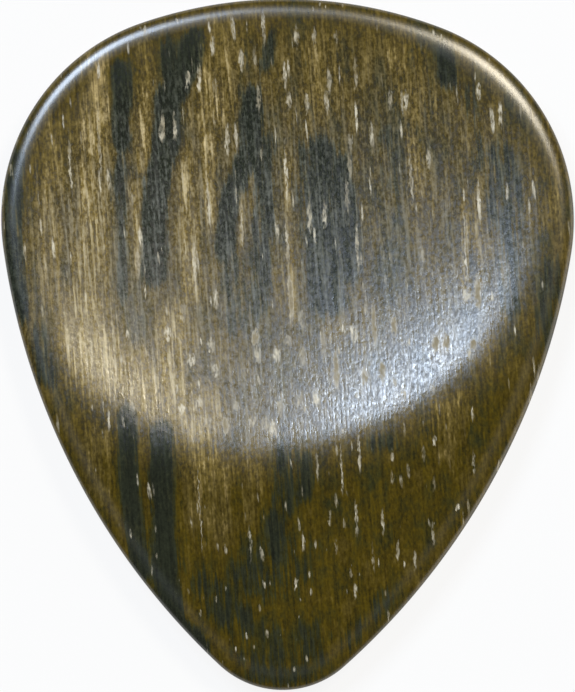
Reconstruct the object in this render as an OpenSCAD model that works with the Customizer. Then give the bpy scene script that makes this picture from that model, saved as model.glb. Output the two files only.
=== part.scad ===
// Guitar plectrum carved from one piece of streaked dark hardwood.
// A rounded triangle with a shallow oval thumb dish in its face and edges rounded all the way round.
// Millimetres. It lies on its flat back at z = 0, the dish faces +Z and the tip points to -Y.

/* [Outline] */
// Width across the shoulders
pick_w = 26; // [24:0.5:30]
// Length from the grip end to the tip
pick_l = 31.4; // [29:0.2:36]
// Radius of the wide grip end
crown_r = 20; // [17:0.5:26]
// Radius of the two shoulders
shoulder_r = 9.4; // [8:0.2:10.4]
// Radius of the two long sides
side_r = 32; // [26:1:60]
// Radius of the playing tip
tip_r = 4.2; // [2.8:0.2:6]

/* [Section] */
// Thickness of the blank
pick_t = 2.8; // [2.2:0.1:4]
// Radius worked on the edges of both faces
edge_r = 0.6; // [0.3:0.05:1]

/* [Thumb dish] */
// Land left between each end of the dish and the side of the pick
side_land = 1.55; // [1.4:0.05:3]
// Land left between the dish and the grip end
grip_land = 1.55; // [1.4:0.05:3]
// Width of the dish, across its long axis
dish_w = 18.7; // [12:0.1:19]
// Depth of the dish in its middle
dish_depth = 1; // [0.4:0.05:1.3]
// Turn of the dish's long axis, for a thumb laid across the pick
dish_turn = 15; // [0:1:20]
// Shift of the dish to the right of the midline
dish_shift = -0.2; // [-0.4:0.1:0.4]
// Reach of the eased lip outside the dish
lip_ease = 0.5; // [0.2:0.05:0.5]

/* [Hidden] */
$fn = 360;

wood_colour = [0.36, 0.31, 0.17];

// The outline is a chain of tangent arcs, the same on both sides of the midline.
crown_c = [0, pick_l / 2 - crown_r];
tip_c = [0, tip_r - pick_l / 2];
shoulder_x = pick_w / 2 - shoulder_r;
shoulder_c = [shoulder_x, crown_c.y + sqrt(pow(crown_r - shoulder_r, 2) - pow(shoulder_x, 2))];
side_c = far_meeting(shoulder_c, side_r - shoulder_r, tip_c, side_r - tip_r);

// Directions in which neighbouring arcs of the right half share a normal.
crown_end = bearing(crown_c, shoulder_c);
shoulder_end = bearing(side_c, shoulder_c);
side_end = bearing(side_c, tip_c);

// The edge rounding stops this far short of lying flush with the faces.
crease = 0.01;
round_z = edge_r - crease;
// The shoulders and the tip stand this far out, so each meets its longer neighbours at a clean line.
corner_proud = 0.02;
// Reach of the cutters past the blank.
past = 3;

// The dish's half axes, and how far its turned oval reaches towards the grip end.
dish_l = pick_w - 2 * side_land;
dish_reach = sqrt(pow(dish_l / 2 * sin(dish_turn), 2) + pow(dish_w / 2 * cos(dish_turn), 2));
dish_c = [dish_shift, pick_l / 2 - grip_land - dish_reach];

// The eased lip leaves the face at half of the dish's own slope.
ease_depth = dish_depth / 2 * (dish_w / 2 + lip_ease) / (dish_w / 2);

function bearing(from, to) = atan2(to.y - from.y, to.x - from.x);

// Where circles of radius ra round a and rb round b meet, on the side away from the right-hand edge.
function far_meeting(a, ra, b, rb) =
    let (gap = norm(b - a))
    let (along = (b - a) / gap)
    let (reach = (ra * ra - rb * rb + gap * gap) / (2 * gap))
    let (rise = sqrt(ra * ra - reach * reach))
    a + reach * along + rise * [along.y, -along.x];

// Radius of a ball whose cap has this half width and depth.
function cap_r(half, depth) = (half * half + depth * depth) / (2 * depth);

// The rounded edge in section, at this distance from the arc's centre.
module round_edge(r) {
    translate([r - edge_r, round_z]) square([edge_r, pick_t - 2 * round_z]);
    for (z = [round_z, pick_t - round_z]) translate([r - edge_r, z]) circle(edge_r);
}

// A disc with the rounded edge, as thick as the blank.
module disc(c, r) {
    translate(c)
        rotate_extrude()
            intersection() {
                square([r + past, pick_t]);
                union() {
                    translate([0, -past]) square([r - edge_r, pick_t + 2 * past]);
                    round_edge(r);
                }
            }
}

// What is taken off a corner to leave the rounded edge on this arc.
module corner_cutter(c, r, from, to) {
    translate(c)
        rotate(from)
            rotate_extrude(angle = to - from)
                difference() {
                    translate([r - edge_r, -past]) square([edge_r + 2 * past, pick_t + 2 * past]);
                    round_edge(r);
                }
}

module shoulder_cutter() {
    corner_cutter(shoulder_c, shoulder_r + corner_proud, shoulder_end, crown_end);
}

module blank() {
    difference() {
        intersection() {
            disc(crown_c, crown_r);
            disc(side_c, side_r);
            disc([-side_c.x, side_c.y], side_r);
        }
        shoulder_cutter();
        mirror([1, 0, 0]) shoulder_cutter();
        corner_cutter(tip_c, tip_r + corner_proud, -180 - side_end, side_end);
    }
}

// A ball stretched along the dish's long axis, which sinks to this depth with these half axes in the face.
module dish_cutter(half_l, half_w, depth) {
    ball_r = cap_r(half_w, depth);
    translate([dish_c.x, dish_c.y, pick_t - depth + ball_r])
        rotate(dish_turn)
            scale([half_l / half_w, 1, 1])
                sphere(ball_r);
}

module plectrum() {
    color(wood_colour)
        difference() {
            blank();
            dish_cutter(dish_l / 2, dish_w / 2, dish_depth);
            dish_cutter(dish_l / 2 + lip_ease, dish_w / 2 + lip_ease, ease_depth);
        }
}

plectrum();
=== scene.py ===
import math

import bpy
import numpy as np
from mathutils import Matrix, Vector


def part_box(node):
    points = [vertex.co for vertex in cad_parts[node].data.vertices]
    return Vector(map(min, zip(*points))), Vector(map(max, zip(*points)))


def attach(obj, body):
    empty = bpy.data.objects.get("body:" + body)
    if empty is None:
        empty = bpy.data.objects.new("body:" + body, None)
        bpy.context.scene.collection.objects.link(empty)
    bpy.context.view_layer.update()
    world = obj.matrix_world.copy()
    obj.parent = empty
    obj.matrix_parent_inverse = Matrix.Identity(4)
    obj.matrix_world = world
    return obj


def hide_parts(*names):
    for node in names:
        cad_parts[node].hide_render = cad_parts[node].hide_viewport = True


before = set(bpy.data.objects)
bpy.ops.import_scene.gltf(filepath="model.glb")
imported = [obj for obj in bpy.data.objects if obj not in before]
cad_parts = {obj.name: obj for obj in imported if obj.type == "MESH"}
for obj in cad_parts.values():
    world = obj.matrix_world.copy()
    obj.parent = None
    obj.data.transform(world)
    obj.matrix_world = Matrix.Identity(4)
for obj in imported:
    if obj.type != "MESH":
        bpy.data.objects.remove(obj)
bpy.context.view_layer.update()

# Sizes are in millimetres here, and the scene is in metres.
MM = 0.001
blank_lo, blank_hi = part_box("plectrum")

# The blank's outline is a chain of tangent arcs, and its face holds an oval thumb dish.
SIZES = {
    "Width": (blank_hi.x - blank_lo.x) / MM,
    "Length": (blank_hi.y - blank_lo.y) / MM,
    "Thickness": (blank_hi.z - blank_lo.z) / MM,
    "Crown Radius": 20.0,
    "Shoulder Radius": 9.4,
    "Side Radius": 32.0,
    "Tip Radius": 4.2,
    "Edge Width": 0.72,
    "Edge Height": 0.32,
    "Shoulder Ease": 0.5,
    "Ease Centre": 0.39,
    "Ease Reach": 0.085,
    "Dish Length": 23.6,
    "Dish Width": 18.7,
    "Dish Depth": 1.0,
    "Dish Turn": math.radians(15),
    "Dish Across": -0.2,
    "Dish Up": 4.7,
    "Lip Softness": 0.24,
}
COUNTS = {"Around": 480, "Rings": 136}
# The rings run from a point of the back round the edge to the middle of the dish. These are the numbers
# of those at which the back's land, its rounding, the wall and the face's rounding end.
BACK_END, LOW_END, WALL_END, HIGH_END = 20, 30, 34, 44
# Rings over which the worn rim fades in above the wall, and out again on the face.
WORN_IN, WORN_OUT = 2, 3
# The thumb's rub grows between these depths of the bowl's form, below zero where that is above the face.
RUB_START, RUB_FULL = -0.52, 0.25
# Between these places up the pick it eases off to this share of itself, and the dish's painted sheen with
# it.
RUB_EASE_FROM, RUB_EASE_TO, GRIP_END_RUB = 6.0, 13.0, 0.6
# Points that lie this near to each other are made one, which closes the seam and the middles.
SEAM = 0.0002


class Field:
    """A number in a node tree, which is reckoned with like a plain number."""

    def __init__(self, tree, socket):
        self.tree = tree
        self.socket = socket

    def math(self, operation, *others):
        node = self.tree.nodes.new("ShaderNodeMath")
        node.operation = operation
        for slot, value in zip(node.inputs, (self, *others)):
            feed(self.tree, slot, value)
        return Field(self.tree, node.outputs[0])

    def __add__(self, other):
        return self.math("ADD", other)

    def __radd__(self, other):
        return self.math("ADD", other)

    def __sub__(self, other):
        return self.math("SUBTRACT", other)

    def __rsub__(self, other):
        return (self * -1.0) + other

    def __mul__(self, other):
        return self.math("MULTIPLY", other)

    def __truediv__(self, other):
        return self.math("DIVIDE", other)

    def __neg__(self):
        return self * -1.0

    def squared(self):
        return self.math("MULTIPLY", self)

    def root(self):
        return self.math("SQRT")

    def sine(self):
        return self.math("SINE")

    def cosine(self):
        return self.math("COSINE")

    def size(self):
        return self.math("ABSOLUTE")

    def sign(self):
        return self.math("SIGN")

    def bearing(self, x):
        return self.math("ARCTAN2", x)

    def over(self, other):
        return self.math("GREATER_THAN", other)

    def least(self, other):
        return self.math("MINIMUM", other)

    def most(self, other):
        return self.math("MAXIMUM", other)

    def soft_most(self, other, softness):
        return self.math("SMOOTH_MAX", other, softness)

    def span(self, start, end, low=0.0, high=1.0, smooth=False):
        """Runs from low to high as this goes from start to end, and holds there."""
        node = self.tree.nodes.new("ShaderNodeMapRange")
        node.interpolation_type = "SMOOTHSTEP" if smooth else "LINEAR"
        for slot, value in zip(node.inputs, (self, start, end, low, high)):
            feed(self.tree, slot, value)
        return Field(self.tree, node.outputs[0])


def feed(tree, slot, value):
    """Links a field or a socket to a slot, or sets the slot's own value."""
    if isinstance(value, Field):
        tree.links.new(value.socket, slot)
    elif isinstance(value, bpy.types.NodeSocket):
        tree.links.new(value, slot)
    else:
        slot.default_value = value


def add_node(tree, kind, settings=None, **inputs):
    """Adds a node, with its settings and its inputs given by name."""
    node = tree.nodes.new(kind)
    for name, value in (settings or {}).items():
        setattr(node, name, value)
    for name, value in inputs.items():
        feed(tree, node.inputs[name.replace("_", " ")], value)
    return node


def vector_math(tree, operation, *vectors):
    """A node that works on these vectors."""
    node = add_node(tree, "ShaderNodeVectorMath", {"operation": operation})
    for slot, value in zip(node.inputs, vectors):
        feed(tree, slot, value)
    return node


def scaled(tree, vector, factor):
    """A vector or a colour times a number."""
    node = add_node(tree, "ShaderNodeVectorMath", {"operation": "SCALE"}, Vector=vector, Scale=factor)
    return node.outputs[0]


def axes(tree, vector):
    """The three numbers of a vector."""
    node = add_node(tree, "ShaderNodeSeparateXYZ", Vector=vector)
    return [Field(tree, number) for number in node.outputs]


def outline_point(size, along_share, inset):
    """A point of the outline, this share of the way round from the tip and this far inside the edge."""
    half_way = 1.0 - (1.0 - along_share * 2.0).size()
    right_or_left = (0.5 - along_share).sign()
    crown_r, shoulder_r = size["Crown Radius"], size["Shoulder Radius"]
    side_r, tip_r = size["Side Radius"], size["Tip Radius"]

    crown_y = size["Length"] * 0.5 - crown_r
    tip_y = tip_r - size["Length"] * 0.5
    shoulder_x = size["Width"] * 0.5 - shoulder_r
    shoulder_y = crown_y + ((crown_r - shoulder_r).squared() - shoulder_x.squared()).root()

    # The long side's centre lies where circles round the shoulder's and the tip's centres meet.
    gap_x, gap_y = -shoulder_x, tip_y - shoulder_y
    gap = (gap_x.squared() + gap_y.squared()).root()
    from_shoulder, from_tip = side_r - shoulder_r, side_r - tip_r
    reach = (from_shoulder.squared() - from_tip.squared() + gap.squared()) / (gap * 2.0)
    rise = (from_shoulder.squared() - reach.squared()).root()
    side_x = shoulder_x + (reach * gap_x + rise * gap_y) / gap
    side_y = shoulder_y + (reach * gap_y - rise * gap_x) / gap

    side_start = (tip_y - side_y).bearing(-side_x)
    shoulder_start = (shoulder_y - side_y).bearing(shoulder_x - side_x)
    crown_start = (shoulder_y - crown_y).bearing(shoulder_x)

    tip_end = (side_start + math.pi / 2) * tip_r
    side_end = tip_end + (shoulder_start - side_start) * side_r
    shoulder_end = side_end + (crown_start - shoulder_start) * shoulder_r
    crown_end = shoulder_end + (math.pi / 2 - crown_start) * crown_r

    # The normal turns at each arc's own rate, and the centre jumps from arc to arc.
    run = half_way * crown_end
    turn = (
        run.least(tip_end) / tip_r
        + (run.least(side_end) - tip_end).most(0.0) / side_r
        + (run.least(shoulder_end) - side_end).most(0.0) / shoulder_r
        + (run - shoulder_end).most(0.0) / crown_r
        - math.pi / 2
    )
    on_side, on_shoulder, on_crown = run.over(tip_end), run.over(side_end), run.over(shoulder_end)
    centre_x = on_side * side_x + on_shoulder * (shoulder_x - side_x) - on_crown * shoulder_x
    centre_y = (
        tip_y
        + on_side * (side_y - tip_y)
        + on_shoulder * (shoulder_y - side_y)
        + on_crown * (crown_y - shoulder_y)
    )
    arc_r = (
        tip_r
        + on_side * (side_r - tip_r)
        + on_shoulder * (shoulder_r - side_r)
        + on_crown * (crown_r - shoulder_r)
        - inset
    )
    x = (centre_x + arc_r * turn.cosine()) * right_or_left
    y = centre_y + arc_r * turn.sine()
    return x, y


def dish_hollow(size, x, y):
    """How far the dish's bowl lies under the face here, below zero outside its oval."""
    across, up = x - size["Dish Across"], y - size["Dish Up"]
    turn_cos, turn_sin = size["Dish Turn"].cosine(), size["Dish Turn"].sine()
    along = (across * turn_cos + up * turn_sin) / (size["Dish Length"] * 0.5)
    athwart = (up * turn_cos - across * turn_sin) / (size["Dish Width"] * 0.5)
    return size["Dish Depth"] * (1.0 - along.squared() - athwart.squared())


def edge_point(size, along_share, ring):
    """A point of the rounded edge. The rings inside it keep to its border on the back or on the face."""
    # The face's edge is eased wider at the right shoulder, at this share of the way round from the tip.
    eased = (along_share - size["Ease Centre"]).size().span(size["Ease Reach"], 0.0, smooth=True)
    edge_w = size["Edge Width"] + size["Shoulder Ease"] * eased * ring.over(LOW_END)
    edge_h = size["Edge Height"]
    quarter = math.pi / 2
    tilt = ring.span(BACK_END, LOW_END, -quarter, 0.0) + ring.span(WALL_END, HIGH_END, 0.0, quarter)
    wall = size["Thickness"] - edge_h * 2.0
    z = edge_h + wall * ring.span(LOW_END, WALL_END) + edge_h * tilt.sine()
    x, y = outline_point(size, along_share, edge_w - edge_w * tilt.cosine())
    return x, y, z


def plectrum_form(material):
    """The tree that bends a grid round the blank: across runs round the outline, up from back to dish."""
    tree = bpy.data.node_groups.new("plectrum_form", "GeometryNodeTree")
    tree.interface.new_socket("Geometry", in_out="OUTPUT", socket_type="NodeSocketGeometry")
    for name in SIZES:
        tree.interface.new_socket(name, in_out="INPUT", socket_type="NodeSocketFloat")
    for name in COUNTS:
        tree.interface.new_socket(name, in_out="INPUT", socket_type="NodeSocketInt")
    given = tree.nodes.new("NodeGroupInput")
    size = {name: Field(tree, given.outputs[name]) for name in SIZES}

    around, rings = (Field(tree, given.outputs[name]) for name in COUNTS)
    grid = add_node(
        tree, "GeometryNodeMeshGrid",
        Size_X=1.0, Size_Y=1.0, Vertices_X=around + 1.0, Vertices_Y=rings,
    )
    across, up, _ = axes(tree, tree.nodes.new("GeometryNodeInputPosition").outputs[0])
    last_ring = rings - 1.0
    along_share = across + 0.5
    ring = (up + 0.5) * last_ring

    # Inside the rounded edge the rings shrink to the dish's middle, on the face and on the back.
    edge_x, edge_y, edge_z = edge_point(size, along_share, ring)
    shrink = ring.span(0.0, BACK_END, 1.0, 0.0) + ring.span(HIGH_END, last_ring)
    x = edge_x + (size["Dish Across"] - edge_x) * shrink
    y = edge_y + (size["Dish Up"] - edge_y) * shrink
    hollow = dish_hollow(size, x, y)
    on_face = ring.over(WALL_END)
    z = edge_z - hollow.soft_most(0.0, size["Lip Softness"]) * on_face
    point = add_node(tree, "ShaderNodeCombineXYZ", X=x, Y=y, Z=z)

    # Marks for the wood: where the thumb has rubbed it, which also places the dish's painted sheen, and
    # where the rim is worn.
    rubbed_and_sheen = hollow.span(RUB_START, RUB_FULL, smooth=True) * on_face
    rubbed_and_sheen = rubbed_and_sheen * y.span(RUB_EASE_TO, RUB_EASE_FROM, GRIP_END_RUB, 1.0)
    worn_out = ring.span(HIGH_END, HIGH_END + WORN_OUT, 1.0, 0.0, smooth=True)
    worn = ring.span(WALL_END, WALL_END + WORN_IN) * worn_out
    marked = grid.outputs["Mesh"]
    for name, value in (("dish", rubbed_and_sheen), ("rim", worn)):
        node = add_node(
            tree, "GeometryNodeStoreNamedAttribute",
            {"data_type": "FLOAT", "domain": "POINT"},
            Geometry=marked, Name=name, Value=value,
        )
        marked = node.outputs[0]
    metres = scaled(tree, point.outputs[0], MM)
    bent = add_node(tree, "GeometryNodeSetPosition", Geometry=marked, Position=metres)
    closed = add_node(tree, "GeometryNodeMergeByDistance", Geometry=bent.outputs[0], Distance=SEAM * MM)
    smooth = add_node(tree, "GeometryNodeSetShadeSmooth", Geometry=closed.outputs[0])
    whole = add_node(tree, "GeometryNodeRealizeInstances", Geometry=smooth.outputs[0])
    dressed = add_node(tree, "GeometryNodeSetMaterial", Geometry=whole.outputs[0], Material=material)
    result = tree.nodes.new("NodeGroupOutput")
    tree.links.new(dressed.outputs[0], result.inputs[0])
    return tree


def grown_mesh(name, tree, inputs):
    """A plain mesh object of what a tree makes with these inputs."""
    seed = bpy.data.objects.new(name + "_seed", bpy.data.meshes.new(name + "_seed"))
    bpy.context.collection.objects.link(seed)
    modifier = seed.modifiers.new("form", "NODES")
    modifier.node_group = tree
    for item in tree.interface.items_tree:
        if item.name in inputs:
            modifier[item.identifier] = inputs[item.name]
    evaluated = seed.evaluated_get(bpy.context.evaluated_depsgraph_get())
    mesh = bpy.data.meshes.new_from_object(evaluated)
    mesh.name = name
    seed.modifiers.remove(modifier)
    bpy.data.objects.remove(seed)
    piece = bpy.data.objects.new(name, mesh)
    bpy.context.collection.objects.link(piece)
    return piece


# The grain leans to the left and rises to the face on its way to the grip end.
GRAIN_LEAN = math.radians(5)
GRAIN_RISE = math.radians(7)
# From this place down to the tip it dives ever more steeply, by this much for a millimetre squared.
TIP_DIVE_FROM, TIP_DIVE = -5.0, 0.014
# The wood's noises: unit in millimetres across the grain, along it and into it, detail, roughness, range.
WOOD_NOISES = {
    "feather": ((0.16, 2.2, 1.5), 3.0, 0.6, (-0.5, 0.5)),
    "fibre": ((0.13, 3.5, 1.0), 1.0, 0.5, (-1.0, 1.0)),
    "thread": ((0.14, 2.8, 1.0), 1.0, 0.5, (-1.0, 1.0)),
    "hair": ((0.12, 0.32, 0.3), 1.0, 0.6, (-1.0, 1.0)),
    "speck": ((0.11, 0.12, 0.12), 1.0, 0.6, (-1.0, 1.0)),
    "grit": ((0.17, 0.23, 0.2), 1.0, 0.6, (-1.0, 1.0)),
    "mottle": ((0.55, 0.75, 0.7), 2.0, 0.6, (-1.0, 1.0)),
    "cloud": ((1.1, 2.4, 3.0), 3.0, 0.6, (0.26, 0.60)),
    "broken": ((0.10, 0.30, 0.2), 2.0, 0.6, (-0.2, 1.6)),
    "stain": ((0.7, 1.5, 1.5), 1.0, 0.5, (0.0, 1.3)),
}
# Those that the whole surface shares: borders of the figure, threads, the fuzz between them, rubbed grit.
WEAVE = ("feather", "fibre", "thread", "hair", "speck", "grit", "mottle")
# Nearly all of a noise lies between these values, which are spread over its range.
NOISE_LOW, NOISE_HIGH = 0.25, 0.75


def wood_noise(tree, grain, name):
    """One of the wood's noises."""
    unit, detail, rough, (low, high) = WOOD_NOISES[name]
    vector = vector_math(tree, "DIVIDE", grain, unit).outputs[0]
    node = add_node(tree, "ShaderNodeTexNoise", Vector=vector, Scale=1.0, Detail=detail, Roughness=rough)
    return Field(tree, node.outputs[0]).span(NOISE_LOW, NOISE_HIGH, low, high)


def grain_space(tree):
    """The place in millimetres, as numbers and as a vector that has Y along the grain."""
    object_space = tree.nodes.new("ShaderNodeTexCoord").outputs["Object"]
    x, y, z = axes(tree, scaled(tree, object_space, 1.0 / MM))
    across = x * math.cos(GRAIN_LEAN) + y * math.sin(GRAIN_LEAN)
    along = y * math.cos(GRAIN_LEAN) - x * math.sin(GRAIN_LEAN)
    near_tip = (TIP_DIVE_FROM - y).most(0.0)
    into = z - along * math.tan(GRAIN_RISE) + near_tip.squared() * TIP_DIVE
    grain = add_node(tree, "ShaderNodeCombineXYZ", X=across, Y=along, Z=into)
    return x, y, z, grain.outputs[0]


# The figure is drawn as strokes, mostly along the grain, among them painted shade and painted sheen by the
# dish's lip: half width, strength, then the places it passes.
DARK_STREAKS_AND_SHADE = (
    (0.60, 1.00, (-4.0, 15.0), (-4.5, 13.0), (-5.5, 11.0), (-5.6, 9.0), (-6.1, 6.5), (-6.1, 2.0)),
    (0.35, 0.80, (-5.6, 14.5), (-5.5, 11.0)),
    (0.45, 1.00, (-7.7, 13.5), (-7.6, 8.0)),
    (0.25, 0.60, (-7.7, 9.5), (-7.4, 1.0)),
    (0.40, 0.70, (-12.3, 9.5), (-12.4, 5.0), (-12.0, 0.0)),
    (0.55, 0.55, (-11.5, 1.5), (-10.5, -3.0)),
    (0.30, 0.70, (-0.6, 15.0), (-1.3, 11.5)),
    (0.50, 0.80, (-1.6, 12.5), (-1.7, 9.0), (-2.6, 6.5), (-3.0, 3.0)),
    (0.55, 0.60, (-1.1, 10.5), (-1.2, 0.5)),
    (0.70, 0.45, (-2.3, 5.0), (-2.3, -0.5)),
    (0.90, 0.75, (1.3, 10.2), (1.5, 6.5), (2.0, 0.5)),
    (0.60, 0.65, (2.3, 9.5), (3.0, 2.0)),
    (0.50, 0.70, (6.8, 14.5), (7.4, 11.0)),
    (0.40, 0.40, (8.0, 13.0), (9.0, 7.0)),
    (0.90, 0.50, (9.5, 10.0), (10.2, 2.5)),
    (0.45, 0.35, (4.3, 10.8), (5.0, 5.0)),
    (0.55, 0.55, (12.2, 5.0), (11.6, -1.0)),
    (0.70, 0.50, (10.2, 5.0), (10.0, 0.5)),
    (0.45, 0.90, (-7.2, -2.0), (-7.0, -7.0), (-6.2, -11.5)),
    (0.55, 1.00, (-5.6, -2.8), (-5.5, -8.0), (-5.0, -12.5), (-3.0, -15.0)),
    (0.70, 0.60, (0.1, -3.8), (0.0, -8.5)),
    (0.45, 0.65, (-0.3, -6.5), (-0.4, -10.8)),
    (0.45, 0.60, (1.2, -4.0), (0.8, -8.0)),
    # This stroke is painted shade under the dish's lower lip.
    (0.50, 0.50, (3.0, -4.2), (6.0, -4.6)),
    # These strokes lie across the grain and make the land darker towards the tip.
    (1.00, 0.50, (-3.0, -9.8), (1.0, -11.5)),
    (0.90, 0.55, (-4.5, -10.0), (-0.5, -14.0)),
    (0.55, 0.45, (5.5, -10.5), (2.0, -14.5)),
    (0.60, 0.55, (-2.5, -15.0), (2.5, -15.0)),
    (1.30, 0.45, (-3.0, -13.8), (3.5, -13.6)),
    (1.60, 0.38, (-5.5, -9.0), (2.5, -10.2)),
)
GOLDEN_BANDS_AND_SHEEN = (
    (0.80, 0.90, (-8.7, 14.4), (-8.9, 7.5)),
    (0.80, 0.65, (-8.9, 9.5), (-8.8, 1.0)),
    (0.60, 0.55, (-11.0, 11.0), (-10.7, 1.0)),
    # This band is golden wood and partly painted warm sheen on the dish's lower-left slope.
    (1.10, 1.00, (-9.3, 3.2), (-9.2, 0.0), (-7.5, -3.0)),
    (0.40, 0.60, (-6.6, 14.8), (-6.6, 7.0)),
    (0.30, 0.80, (-7.0, 8.2), (-6.7, 2.4)),
    (1.00, 0.55, (-3.1, 15.5), (-3.4, 9.0)),
    (0.28, 0.85, (-3.6, 10.5), (-3.5, 4.5)),
    (0.45, 0.70, (-4.6, 9.5), (-4.3, 1.0)),
    (0.80, 0.75, (-5.3, 2.5), (-5.0, -4.5)),
    (0.80, 0.75, (-7.2, 0.5), (-6.0, -4.2)),
    (0.70, 0.75, (-3.9, -1.0), (-3.0, -5.2)),
    # This band follows the dish's lower-left lip: golden wood and partly painted warm sheen.
    (1.40, 0.60, (-9.4, 3.0), (-8.5, -0.5), (-5.5, -3.0), (-2.0, -4.5)),
    (0.15, 0.70, (-0.1, 9.8), (0.2, 2.0)),
    (0.20, 0.60, (0.1, 4.2), (0.3, 0.2)),
    (0.15, 0.60, (-2.2, 8.0), (-2.1, 2.0)),
    (1.00, 0.35, (1.2, 14.8), (1.4, 9.5)),
    (0.90, 0.35, (4.6, 14.8), (6.3, 9.5)),
    (0.40, 0.50, (5.4, 10.5), (6.1, 5.5)),
    (0.22, 0.60, (8.1, 8.0), (8.1, 1.5)),
    (0.20, 0.50, (8.7, 8.5), (8.7, 1.5)),
    (0.32, 0.35, (12.0, 10.5), (12.2, 5.5)),
    (1.20, 0.55, (-3.5, -4.0), (-3.3, -10.5)),
    (0.50, 0.40, (-1.5, -4.2), (-1.4, -9.8)),
    (0.60, 0.50, (-8.5, -2.8), (-8.3, -8.0)),
    (1.10, 0.35, (8.0, -1.5), (6.8, -6.0)),
)
# A stroke is full out to the first share of its half width, gone at the second, and fades out at its ends
# over a length in millimetres.
STROKE_CORE, STROKE_REACH, STROKE_FADE = 0.3, 1.7, 1.3
# The pores that show most, read one by one: x, y and length. Those with resin are golden, the rest pale.
# The land's are slim, and those low in the dish are cut broad.
PALE_PORES = (
    (-1.2, 14.3, 1.4), (0.3, 14.0, 0.9), (1.1, 13.9, 0.7), (2.1, 14.0, 0.6), (-3.5, 13.5, 0.9),
    (1.7, 11.1, 1.2), (0.0, 11.1, 0.8), (5.3, 11.2, 0.7), (2.8, 9.2, 0.9), (6.4, 8.6, 0.8),
    (-1.6, 13.0, 0.9), (-2.2, 12.9, 1.0), (-0.2, 12.2, 1.2), (3.0, 12.4, 1.2), (1.8, 12.0, 1.2),
    (-4.1, 12.1, 1.2), (-4.6, 12.0, 0.7), (-3.4, 11.6, 0.8), (-1.4, 11.2, 1.2), (0.8, 11.0, 0.9),
    (4.6, 11.2, 0.8), (8.6, 11.6, 0.8), (9.6, 10.6, 1.2), (-5.8, 9.6, 1.0), (-5.2, 9.8, 1.2),
    (-2.8, 9.3, 1.5), (-2.4, 9.4, 1.2), (3.8, 9.4, 1.5), (-8.6, 9.0, 3.0), (-9.9, 8.0, 3.0),
    (2.8, 8.2, 1.2), (-0.1, 8.0, 2.8), (5.6, 7.6, 2.2), (2.7, 6.8, 1.6), (8.7, 6.6, 2.0),
    (-3.6, 6.4, 2.2), (1.0, 5.8, 1.4), (1.7, 6.0, 1.2), (-2.1, 5.6, 2.4), (8.1, 4.6, 3.0),
    (3.2, 4.4, 2.0), (-4.2, 3.5, 2.0), (-6.8, 3.6, 1.2), (0.0, 4.6, 2.4), (-3.2, 2.0, 1.0),
)
LAND_PORES = (
    (3.4, -4.9, 1.6), (2.6, -5.6, 2.0), (1.5, -5.5, 1.4), (-8.0, -3.5, 1.0), (-3.8, -7.6, 4.0),
    (-1.5, -9.0, 1.4), (4.1, -9.6, 1.4), (5.2, -9.3, 0.7), (3.3, -11.1, 0.7), (0.6, -10.8, 0.4),
    (6.8, -4.3, 0.5), (4.9, -5.0, 0.6), (6.3, -4.9, 0.8), (8.6, -5.2, 1.0), (4.9, -6.0, 0.5),
    (6.8, -6.3, 0.6), (7.9, -7.3, 0.4), (2.1, -7.8, 0.7), (3.3, -7.8, 1.6), (4.5, -8.0, 1.0),
    (2.4, -9.1, 0.6), (6.0, -9.7, 0.8), (6.8, -8.5, 1.0), (0.9, -9.0, 0.8), (3.1, -10.3, 0.5),
)
BROAD_PORES = (
    (-1.3, -0.5, 0.8), (-0.4, -0.5, 0.7), (0.8, -0.5, 0.8), (1.7, -0.1, 1.2), (-0.2, -2.7, 0.9),
    (0.7, -2.5, 0.8), (1.4, -2.4, 0.8), (-0.5, -3.8, 0.7), (-0.9, -3.6, 0.6), (-1.5, -3.5, 0.4),
    (-3.2, -1.2, 0.6), (0.7, 1.1, 0.8), (3.1, 0.5, 0.8), (-4.7, 1.4, 0.9), (-3.4, -0.1, 0.5),
    (-2.2, -2.8, 0.5), (-3.9, -2.7, 0.4), (-3.5, -3.6, 0.6), (-4.3, -0.8, 0.5), (-5.4, 0.4, 0.7),
    (0.1, 0.2, 0.5), (-4.7, -3.0, 0.4), (8.2, 2.3, 0.5),
)
GOLDEN_PORES = (
    (0.2, 2.2, 2.0), (8.7, 2.4, 1.4), (4.0, 0.9, 1.8), (6.8, 0.1, 0.7), (8.5, 0.1, 0.6),
    (2.3, -1.1, 1.6), (3.6, -1.4, 0.7), (-1.4, 0.3, 0.6), (4.9, 0.9, 0.9), (4.4, -1.2, 0.8),
    (7.3, 0.2, 0.6), (-2.7, -3.7, 0.7),
)
PALE_HALF_WIDTH = 0.085
BROAD_HALF_WIDTH = 0.13
LAND_HALF_WIDTH = 0.055
GOLDEN_HALF_WIDTH = 0.12
PORE_LEAN = math.radians(4)
# Short pores are plump and long ones slim: a pore's girth falls with each millimetre of its length.
PORE_GIRTH, GIRTH_LOSS, LEAST_GIRTH = 1.5, 0.3, 0.55
# A pore's border is soft between these shares of its half width.
PORE_OUTER, PORE_INNER = 1.3, 0.5
# A place that no pore is near.
FAR = 9.0
# Pores in one group of nodes.
CLUSTER = 15
# The pores made by rule: cell across the grain, cell along it, half width and share of cells with a pore.
SMALL_PORES = (0.34, 3.6, 0.075, 0.7)
LARGE_PORES = (0.44, 4.0, 0.095, 0.85)
# Their soft border, as a share of the half width.
SPINDLE_EDGE = 0.4


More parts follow.
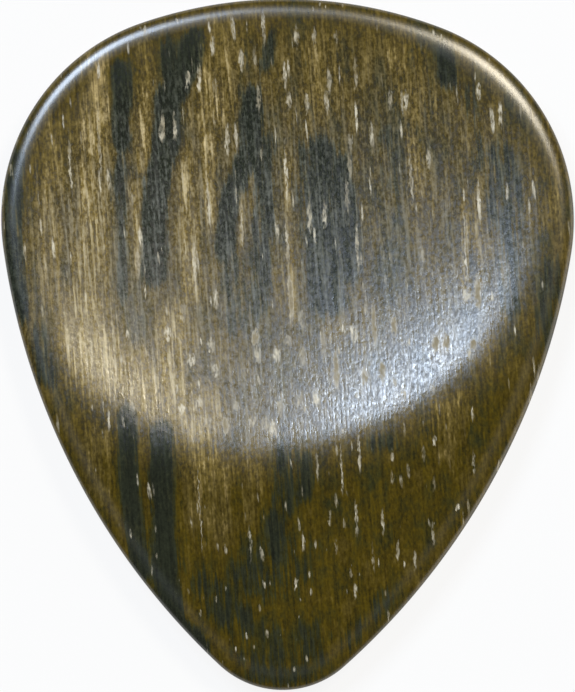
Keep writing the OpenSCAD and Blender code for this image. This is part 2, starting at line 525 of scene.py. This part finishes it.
def mark_figure(mesh, name, strokes):
    """Stores how strongly a list of strokes, which fade out at both ends, marks each point of the mesh."""
    points = np.empty(len(mesh.vertices) * 3, dtype=np.float32)
    mesh.vertices.foreach_get("co", points)
    points = points.reshape(-1, 3)[:, :2] / MM
    total = np.zeros(len(points), dtype=np.float32)
    for half_width, strength, *path in strokes:
        path = np.array(path)
        steps = np.diff(path, axis=0)
        lengths = np.linalg.norm(steps, axis=1)
        run = 0.0
        for start, step, length in zip(path, steps, lengths):
            share = np.clip((points - start) @ step / length ** 2, 0, 1)
            off = np.linalg.norm(points - start - share[:, None] * step, axis=1) / half_width
            along = run + share * length
            to_end = np.minimum(along, lengths.sum() - along) / STROKE_FADE
            near = np.clip((STROKE_REACH - off) / (STROKE_REACH - STROKE_CORE), 0, 1)
            near = near * np.clip(to_end, 0, 1)
            total = np.maximum(total, strength * near * near * (3 - 2 * near))
            run += length
    mesh.attributes.new(name, "FLOAT", "POINT").data.foreach_set("value", total)


def pore_cluster(name, marks, half_width):
    """A group that finds how near each place is to the pores of a list, or to a pore found before."""
    tree = bpy.data.node_groups.new(name, "ShaderNodeTree")
    tree.interface.new_socket("Face", in_out="INPUT", socket_type="NodeSocketVector")
    tree.interface.new_socket("Before", in_out="INPUT", socket_type="NodeSocketFloat")
    tree.interface.new_socket("Nearest", in_out="OUTPUT", socket_type="NodeSocketFloat")
    given = tree.nodes.new("NodeGroupInput")
    nearest = Field(tree, given.outputs["Before"])
    for x, y, length in marks:
        # Adding nought times the last pore keeps the pores in turn, so that few are held at once.
        turn = vector_math(tree, "MULTIPLY_ADD", nearest, (0, 0, 0), given.outputs["Face"])
        girth = half_width * max(PORE_GIRTH - GIRTH_LOSS * length, LEAST_GIRTH)
        node = add_node(
            tree, "ShaderNodeMapping", {"vector_type": "TEXTURE"}, Vector=turn.outputs[0],
            Location=(x, y, 0), Rotation=(0, 0, PORE_LEAN), Scale=(girth, length / 2, 1),
        )
        off = vector_math(tree, "LENGTH", node.outputs[0])
        nearest = nearest.least(Field(tree, off.outputs["Value"]))
    result = tree.nodes.new("NodeGroupOutput")
    tree.links.new(nearest.socket, result.inputs[0])
    return tree


def oval_pores(tree, name, marks, half_width, flat):
    """The pores of a list: one where the face cuts a pore open, nought elsewhere."""
    nearest = FAR
    for start in range(0, len(marks), CLUSTER):
        cluster = pore_cluster("%s_from_%d" % (name, start), marks[start:start + CLUSTER], half_width)
        node = add_node(tree, "ShaderNodeGroup", {"node_tree": cluster}, Face=flat, Before=nearest)
        nearest = Field(tree, node.outputs[0])
    return nearest.span(PORE_OUTER, PORE_INNER, smooth=True)


def spindle_pores(tree, vector, cell, length, radius, share):
    """Cut pores: spindles along the grain, one in some of the cells, each of its own girth."""
    in_cells = vector_math(tree, "DIVIDE", vector, (cell, length, cell))
    node = add_node(
        tree, "ShaderNodeTexVoronoi", {"voronoi_dimensions": "3D", "feature": "F1"},
        Vector=in_cells.outputs[0], Scale=1.0,
    )
    luck = add_node(tree, "ShaderNodeSeparateColor", Color=node.outputs["Color"])
    girth = Field(tree, luck.outputs[0]).span(1.0 - share, 1.0)
    wide = girth.root() * (radius / cell)
    gap = Field(tree, node.outputs["Distance"])
    return (wide - gap).span(0.0, SPINDLE_EDGE * radius / cell, smooth=True)


def colour_ramp(tree, factor, stops):
    """A colour for each tone, blended between the stops."""
    ramp = tree.nodes.new("ShaderNodeValToRGB")
    feed(tree, ramp.inputs[0], factor)
    while len(ramp.color_ramp.elements) < len(stops):
        ramp.color_ramp.elements.new(0.5)
    for element, (position, colour) in zip(ramp.color_ramp.elements, stops):
        element.position = position
        element.color = (*colour, 1)
    return ramp.outputs[0]


def mixed(tree, factor, under, over):
    """One colour laid over another by a factor."""
    node = add_node(tree, "ShaderNodeMix", {"data_type": "RGBA", "blend_type": "MIX"})
    # The node's slots for colours come after those for numbers and vectors.
    feed(tree, node.inputs[0], factor)
    feed(tree, node.inputs[6], under)
    feed(tree, node.inputs[7], over)
    return node.outputs[2]


# Wood colours from the darkest streak to the golden bands, rubbed dry in the dish and deep on the land;
# the dish's are also lighter and greyer as painted sheen.
DISH_TONES_AND_SHEEN = (
    (0.00, (0.020, 0.025, 0.014)),
    (0.14, (0.038, 0.043, 0.027)),
    (0.28, (0.066, 0.065, 0.035)),
    (0.46, (0.134, 0.095, 0.023)),
    (0.70, (0.258, 0.180, 0.046)),
    (0.95, (0.530, 0.415, 0.200)),
)
LAND_TONES = (
    (0.00, (0.020, 0.023, 0.012)),
    (0.14, (0.031, 0.032, 0.014)),
    (0.28, (0.038, 0.035, 0.007)),
    (0.46, (0.075, 0.050, 0.002)),
    (0.70, (0.118, 0.084, 0.018)),
    (0.95, (0.300, 0.212, 0.075)),
)
PORE_FILL = (0.78, 0.70, 0.51)
PORE_STAIN = (0.26, 0.20, 0.085)
# Pale dust in the rubbed fibres, which also serves as painted sheen low in the dish.
FIBRE_DUST_AND_SHEEN = (0.265, 0.265, 0.235)
# Roughness of the polished land, and what rubbing, wear on the rim and filler in a pore add to it.
POLISHED, RUBBED, WORN, DULL_FILLER = 0.13, 0.115, 0.12, 0.3
# How strongly the finish mirrors.
SHINE = 0.85
# Height of the relief, and the height above the back from which the pores read by eye show.
RELIEF = 0.003
FACE_FROM = 1.2


def attribute(tree, name):
    """A mark that the mesh carries."""
    return Field(tree, add_node(tree, "ShaderNodeAttribute", {"attribute_name": name}).outputs["Fac"])


def wood_tone(tree, grain, noises, dish):
    """How light the wood is: clouded, with feathered streaks and bands, among them painted shade and
    painted sheen by the dish's lip, and mottled on the land.
    """
    feather, hair = noises["feather"], noises["hair"]
    dark = (attribute(tree, "dark") + feather * 0.80 + hair * 0.12).span(0.22, 0.85, smooth=True)
    gold = (attribute(tree, "gold") + feather * 0.70 + hair * 0.12).span(0.15, 0.90)
    tone = wood_noise(tree, grain, "cloud")
    tone = tone + gold * (0.34 + noises["thread"] * 0.20) - dark * 0.46 + hair * 0.05
    return tone + noises["mottle"] * 0.07 * (1.0 - dish)


def pore_filling(tree, place, grain, noises, dish):
    """How much filler shows here, how much of that is resin, and how much a small pore takes away."""
    x, y, z = place
    feather, hair = noises["feather"], noises["hair"]
    drift = add_node(tree, "ShaderNodeCombineXYZ", X=feather * 0.12, Y=0.0, Z=feather * 0.10)
    wander = vector_math(tree, "ADD", grain, drift.outputs[0]).outputs[0]
    small = spindle_pores(tree, wander, *SMALL_PORES)
    large = spindle_pores(tree, wander, *LARGE_PORES)

    ragged = add_node(tree, "ShaderNodeCombineXYZ", X=x + hair * 0.045, Y=y + hair * 0.2, Z=0.0).outputs[0]
    on_face = z.over(FACE_FROM)
    plump = oval_pores(tree, "pale_pores", PALE_PORES, PALE_HALF_WIDTH, ragged)
    slim = oval_pores(tree, "land_pores", LAND_PORES, LAND_HALF_WIDTH, ragged)
    broad = oval_pores(tree, "broad_pores", BROAD_PORES, BROAD_HALF_WIDTH, ragged)
    pale = plump.most(slim).most(broad * 0.85) * on_face
    golden = oval_pores(tree, "golden_pores", GOLDEN_PORES, GOLDEN_HALF_WIDTH, ragged) * on_face

    broken = wood_noise(tree, grain, "broken")
    stain = wood_noise(tree, grain, "stain")
    cut = (small * 0.85).most(large).most(pale)
    fill = cut * broken * (0.55 + stain * 0.45) * (0.7 + dish * 0.3)
    fill = fill.most(golden * (0.55 + broken * 0.6)).most(0.0).least(1.0)
    return fill, golden.most(1.0 - stain), small


def wood_colour(tree, tone, noises, fill, resin, dish):
    """The wood's tones, woven along the grain and dusted where they are rubbed, the dust partly painted
    sheen, with the pores filled.
    """
    fibre, thread, hair, speck = (noises[name] for name in ("fibre", "thread", "hair", "speck"))
    # The dish takes its own tones, which hold painted sheen as well as the rubbed wood's colour.
    colour = mixed(tree, dish, colour_ramp(tree, tone, LAND_TONES), colour_ramp(tree, tone, DISH_TONES_AND_SHEEN))
    weave = (thread - 0.35) * (0.1 + dish * 0.5) + fibre * 0.32
    weave = weave + hair * (0.26 + dish * 0.24) + speck * (0.2 + dish * 0.3)
    colour = scaled(tree, colour, (1.0 + weave).most(0.5))
    # The dust grows toward the dish's bottom, partly as painted sheen.
    dust_and_sheen = (thread * 0.6 + hair * 0.7 + speck * 0.4).span(-0.1, 1.1)
    colour = mixed(tree, dust_and_sheen * dish.squared() * dish * 0.60, colour, (*FIBRE_DUST_AND_SHEEN, 1))
    filling = mixed(tree, resin, (*PORE_FILL, 1), (*PORE_STAIN, 1))
    return mixed(tree, fill * 0.9, colour, filling)


def wood_surface(tree, noises, fill, small, dish):
    """The wood's roughness and its normal, bumped by the fibres, the rubbed grit and the small pores."""
    fibre, hair, speck, grit = (noises[name] for name in ("fibre", "hair", "speck", "grit"))
    rim = attribute(tree, "rim")
    rubbing = dish * (RUBBED - fibre * 0.06 - hair * 0.10 - grit * 0.08 - speck * 0.08)
    roughness = POLISHED + rubbing.most(rim * WORN) + fill * DULL_FILLER
    relief = (fibre * 0.35 + hair * 0.3 + grit * dish * 0.45) * (1.0 - rim * 0.6) - small * 0.3
    bump = add_node(tree, "ShaderNodeBump", Strength=1.0, Distance=RELIEF * MM, Height=relief)
    return roughness, bump.outputs[0]


def figured_wood():
    """Dark hardwood with near-black streaks, golden bands, fibres and pale pores, rubbed to a satin."""
    material = bpy.data.materials.new("figured_wood")
    material.use_nodes = True
    tree = material.node_tree
    tree.nodes.clear()
    x, y, z, grain = grain_space(tree)
    dish = attribute(tree, "dish")
    noises = {name: wood_noise(tree, grain, name) for name in WEAVE}
    # A thread shows only where its noise is high.
    noises["thread"] = noises["thread"].span(0.0, 0.6)

    tone = wood_tone(tree, grain, noises, dish)
    fill, resin, small = pore_filling(tree, (x, y, z), grain, noises, dish)
    colour = wood_colour(tree, tone, noises, fill, resin, dish)
    roughness, normal = wood_surface(tree, noises, fill, small, dish)
    shader = add_node(
        tree, "ShaderNodeBsdfPrincipled", Base_Color=colour, Roughness=roughness, Normal=normal
    )
    shader.inputs["Specular IOR Level"].default_value = SHINE
    result = tree.nodes.new("ShaderNodeOutputMaterial")
    tree.links.new(shader.outputs[0], result.inputs[0])
    return material


# The table lies just under the back, so that the two share no plane.
FLOOR_DROP = 0.02
FLOOR_HALF = 600.0
FLOOR_COLOUR = (0.9, 0.9, 0.9)
# It is partly white by itself near the pick, where it keeps the shadow, and wholly so from farther off.
SHADOW_END, WHITE_START, NEAR_WHITE = 30.0, 150.0, 0.88
# A ray up to the first length passes through it, and one past the second meets it.
PASSED, MET = 0.05, 0.10


def layered(tree, factor, under, over):
    """One shader laid over another by a factor."""
    node = tree.nodes.new("ShaderNodeMixShader")
    for slot, value in zip(node.inputs, (factor, under.outputs[0], over.outputs[0])):
        feed(tree, slot, value)
    return node


def pale_floor():
    """A table that shows white and keeps the pick's soft shadow, but is clear when seen from below."""
    material = bpy.data.materials.new("pale_floor")
    material.use_nodes = True
    tree = material.node_tree
    tree.nodes.clear()
    matte = add_node(tree, "ShaderNodeBsdfDiffuse", Color=(*FLOOR_COLOUR, 1))
    glow = add_node(tree, "ShaderNodeEmission", Color=(1, 1, 1, 1), Strength=1.0)
    path = tree.nodes.new("ShaderNodeLightPath")
    seen = Field(tree, path.outputs["Is Camera Ray"])
    for ray in ("Is Glossy Ray", "Is Transmission Ray"):
        seen = seen.most(Field(tree, path.outputs[ray]))
    place = tree.nodes.new("ShaderNodeTexCoord").outputs["Object"]
    away = Field(tree, vector_math(tree, "LENGTH", place).outputs["Value"])
    white = seen * away.span(SHADOW_END * MM, WHITE_START * MM, NEAR_WHITE, 1.0)
    shown = layered(tree, white, matte, glow)
    # Light that leaves the pick's back meets the table at once, and goes on through it.
    below = Field(tree, tree.nodes.new("ShaderNodeNewGeometry").outputs["Backfacing"])
    touching = Field(tree, path.outputs["Ray Length"]).span(MET * MM, PASSED * MM)
    clear = tree.nodes.new("ShaderNodeBsdfTransparent")
    table = layered(tree, below.most(touching), shown, clear)
    result = tree.nodes.new("ShaderNodeOutputMaterial")
    tree.links.new(table.outputs[0], result.inputs[0])
    return material


def make_floor():
    """The table's top, which the scene shows and the part leaves out."""
    half, low = FLOOR_HALF * MM, -FLOOR_DROP * MM
    mesh = bpy.data.meshes.new("floor")
    corners = [(-half, -half, low), (half, -half, low), (half, half, low), (-half, half, low)]
    mesh.from_pydata(corners, [], [(0, 1, 2, 3)])
    floor = bpy.data.objects.new("floor", mesh)
    bpy.context.collection.objects.link(floor)
    mesh.materials.append(pale_floor())


# The soft boxes: bearing round from the right and angle down from overhead in degrees, distance, width
# and height in millimetres, colour and watts.
SOFT_BOXES = {
    "window": (129, 26, 400, 120, 120, (0.67, 0.80, 1.0), 1.05),
    "lamp": (49, 26, 400, 80, 80, (1.0, 0.90, 0.72), 0.62),
    "reflector": (-12, 72, 350, 340, 180, (1.0, 0.95, 0.85), 0.25),
}
# The world is bright up to the first height of the sky and dim from the second.
BRIGHT_SKY, DIM_SKY = 0.1, 0.45
OVERHEAD_GLOW, HORIZON_GLOW = 0.04, 0.56


def soft_light(name, bearing, off_axis, distance, width, height, colour, power):
    """A soft box that looks at the pick."""
    lamp = bpy.data.lights.new(name, "AREA")
    lamp.shape = "RECTANGLE"
    lamp.size, lamp.size_y = width * MM, height * MM
    lamp.color = colour
    lamp.energy = power
    light = bpy.data.objects.new(name, lamp)
    away = math.sin(math.radians(off_axis))
    light.location = distance * MM * Vector((
        away * math.cos(math.radians(bearing)),
        away * math.sin(math.radians(bearing)),
        math.cos(math.radians(off_axis)),
    ))
    light.rotation_euler = (-light.location).to_track_quat("-Z", "Y").to_euler()
    bpy.context.collection.objects.link(light)


def studio_world():
    """White behind the scene and low on the horizon, dim overhead, so that the face keeps its depth."""
    world = bpy.data.worlds.new("studio")
    bpy.context.scene.world = world
    world.use_nodes = True
    tree = world.node_tree
    _, _, height = axes(tree, tree.nodes.new("ShaderNodeTexCoord").outputs["Generated"])
    horizon = height.span(BRIGHT_SKY, DIM_SKY, 1.0, 0.0, smooth=True)
    path = tree.nodes.new("ShaderNodeLightPath")
    seen = Field(tree, path.outputs["Is Glossy Ray"]) * horizon
    for ray in ("Is Camera Ray", "Is Transmission Ray"):
        seen = seen.most(Field(tree, path.outputs[ray]))
    background = tree.nodes["Background"]
    background.inputs["Color"].default_value = (1, 1, 1, 1)
    feed(tree, background.inputs["Strength"], seen.most(OVERHEAD_GLOW + horizon * HORIZON_GLOW))


def light_studio():
    """Cool light from a window, warm light from a lamp and a low reflector at the right."""
    for name, settings in SOFT_BOXES.items():
        soft_light(name, *settings)
    studio_world()


# The camera looks straight down, and the pick fills its frame from edge to edge.
CAMERA_HEIGHT = 250.0
FRAME_HEIGHT = 31.456
FRAME_CENTRE = (0.0745, -0.066)
CAMERA_ROLL = math.radians(0.75)
NEAREST_SEEN = 1.0
SENSOR = 24.0


def place_camera():
    """A camera whose frame has its height at the pick's widest outline."""
    lens = bpy.data.cameras.new("camera")
    lens.sensor_fit = "VERTICAL"
    lens.sensor_height = SENSOR
    to_outline = CAMERA_HEIGHT - (SIZES["Thickness"] - SIZES["Edge Height"])
    lens.lens = SENSOR * to_outline / FRAME_HEIGHT
    lens.clip_start = NEAREST_SEEN * MM
    camera = bpy.data.objects.new("camera", lens)
    camera.location = MM * Vector((*FRAME_CENTRE, CAMERA_HEIGHT))
    camera.rotation_euler = (0, 0, CAMERA_ROLL)
    bpy.context.collection.objects.link(camera)
    bpy.context.scene.camera = camera


def make_plectrum():
    """The whole pick, in one piece."""
    form = plectrum_form(figured_wood())
    piece = grown_mesh("plectrum_body", form, SIZES | COUNTS)
    mark_figure(piece.data, "dark", DARK_STREAKS_AND_SHADE)
    mark_figure(piece.data, "gold", GOLDEN_BANDS_AND_SHEEN)
    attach(piece, "root")
    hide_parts("plectrum")


bpy.context.scene.view_settings.view_transform = "Standard"
make_plectrum()
make_floor()
light_studio()
place_camera()
